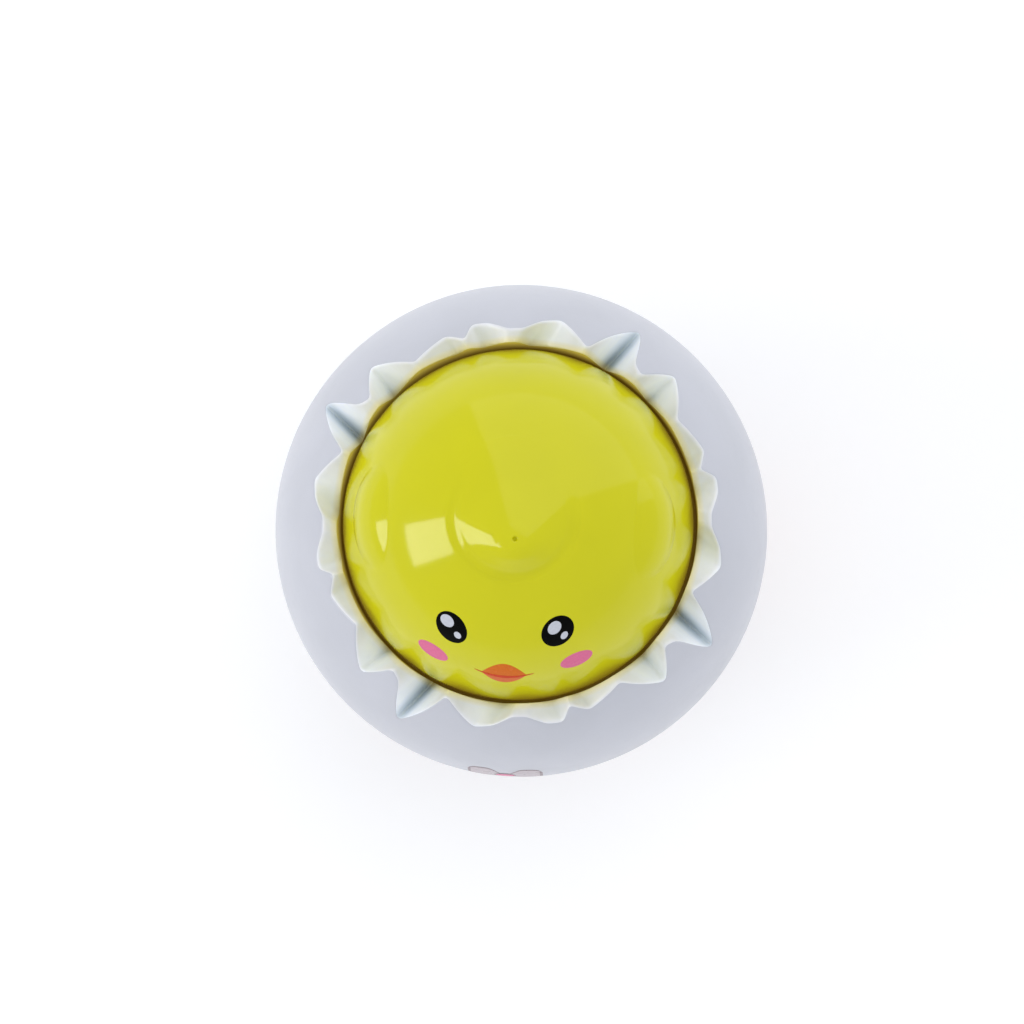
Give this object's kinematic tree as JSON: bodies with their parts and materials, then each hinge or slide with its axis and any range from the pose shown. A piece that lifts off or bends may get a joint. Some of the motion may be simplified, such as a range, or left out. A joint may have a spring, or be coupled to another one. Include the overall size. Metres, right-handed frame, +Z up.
{
  "type": "wind-up hopping toy",
  "caption": "Wind-up hopping toy: a chick's head rising from a cracked eggshell on webbed feet, with a side winding knob and a spring motor that rocks the feet.",
  "frame": {"origin": "on the floor under the egg's axis, midway between the feet", "axes": "+Z up, the chick faces -Y, the winding knob is on the +X side"},
  "size_m": [0.07, 0.07, 0.0803],
  "materials": {
    "white_shell": "satin white moulded plastic, faintly cool",
    "yellow_head": "polished greenish-yellow moulded plastic",
    "orange_plastic": "moulded plastic, slightly glossy",
    "nylon": "natural nylon",
    "steel": "plated steel",
    "brass": "turned brass",
    "spring_steel": "blued spring steel"
  },
  "bodies": {
    "body": {"upper_shell": "white_shell", "lower_shell": "white_shell", "chick_head": "yellow_head", "arbor_bush": "nylon", "mainspring": "spring_steel", "left_side_plate": "steel", "right_side_plate": "steel", "front_lower_pillar": "brass", "rear_lower_pillar": "brass", "front_upper_pillar": "brass", "rear_upper_pillar": "brass", "motor_screw_1": "steel", "motor_screw_2": "steel", "motor_screw_3": "steel", "motor_screw_4": "steel", "head_screw_1": "steel", "head_screw_2": "steel", "head_screw_3": "steel"},
    "winder": {"winding_arbor": "steel", "winding_knob": "orange_plastic", "knob_screw": "steel", "ratchet_wheel": "brass"},
    "great_wheel": {"great_wheel": "nylon", "click_pivot": "steel", "click_spring": "spring_steel"},
    "click": {"click": "brass"},
    "idler": {"idler_axle": "steel", "idler_wheel": "nylon", "idler_pinion": "nylon"},
    "crank": {"crank_axle": "steel", "crank_pinion": "nylon", "left_crank": "steel", "right_crank": "steel"},
    "legs": {"rocker_axle": "steel", "left_leg": "orange_plastic", "right_leg": "orange_plastic", "left_clip": "spring_steel", "right_clip": "spring_steel"}
  },
  "joints": [
    {"name": "winding_knob_turn", "type": "hinge", "parent": "body", "child": "winder", "pos_m": [0, 0.003, 0.018], "axis": [1, 0, 0], "continuous": true, "deforming": ["mainspring"]},
    {"name": "great_wheel_turn", "type": "hinge", "parent": "body", "child": "great_wheel", "pos_m": [0, 0.003, 0.018], "axis": [1, 0, 0], "continuous": true},
    {"name": "click_lift", "type": "hinge", "parent": "great_wheel", "child": "click", "pos_m": [0, -0.00264, 0.02006], "axis": [1, 0, 0], "range_deg": [0, 12], "stiffness_Nm_per_rad": 0.002, "springref_deg": -5.73, "deforming": ["click_spring"]},
    {"name": "idler_turn", "type": "hinge", "parent": "body", "child": "idler", "pos_m": [0, 0.00202, 0.02876], "axis": [1, 0, 0], "continuous": true},
    {"name": "crank_turn", "type": "hinge", "parent": "body", "child": "crank", "pos_m": [0, -0.007, 0.024], "axis": [1, 0, 0], "continuous": true},
    {"name": "leg_rock", "type": "hinge", "parent": "body", "child": "legs", "pos_m": [0, -0.007, 0.014], "axis": [1, 0, 0], "range_deg": [-7, 7]}
  ],
  "couplings": [
    {"joint": "idler_turn", "follows": "great_wheel_turn", "ratio": -3.5},
    {"joint": "crank_turn", "follows": "great_wheel_turn", "ratio": 11.375}
  ]
}
